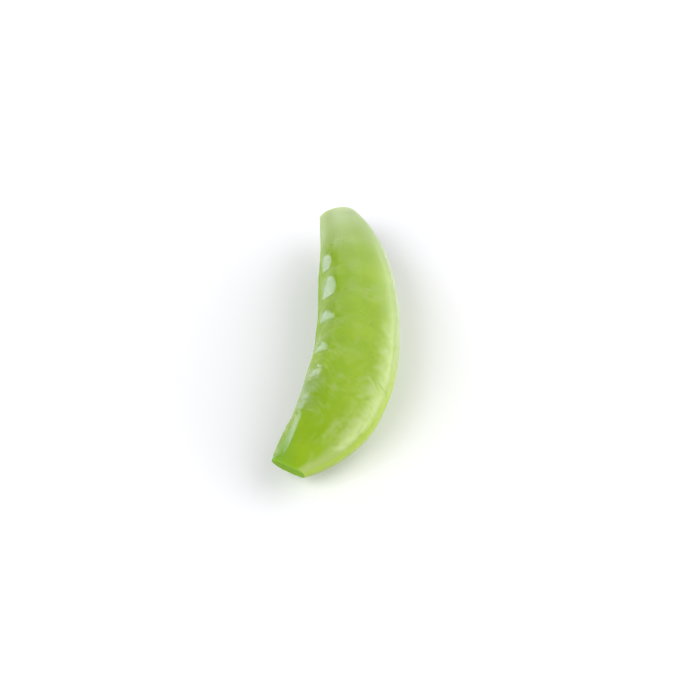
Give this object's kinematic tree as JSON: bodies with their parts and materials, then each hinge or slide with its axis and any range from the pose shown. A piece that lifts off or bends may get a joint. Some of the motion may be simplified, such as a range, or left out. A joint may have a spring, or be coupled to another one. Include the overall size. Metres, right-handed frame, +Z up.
{
  "type": "sugar snap pea",
  "caption": "Trimmed sugar snap pea pod, plump and gently curved, with soft swellings over its peas and a raised seam along each edge, lying on its side.",
  "frame": {"origin": "middle of the pod's footprint, on the surface it lies on", "axes": "+X along the pod towards its stem end, +Y towards the string side (the concave edge), +Z up out of the side it shows"},
  "size_m": [0.0724, 0.0204, 0.0123],
  "materials": {
    "pod_skin": "glossy fresh green plant skin, paler along the seams and at the stem end"
  },
  "bodies": {
    "root": {"pod": "pod_skin"}
  },
  "joints": []
}
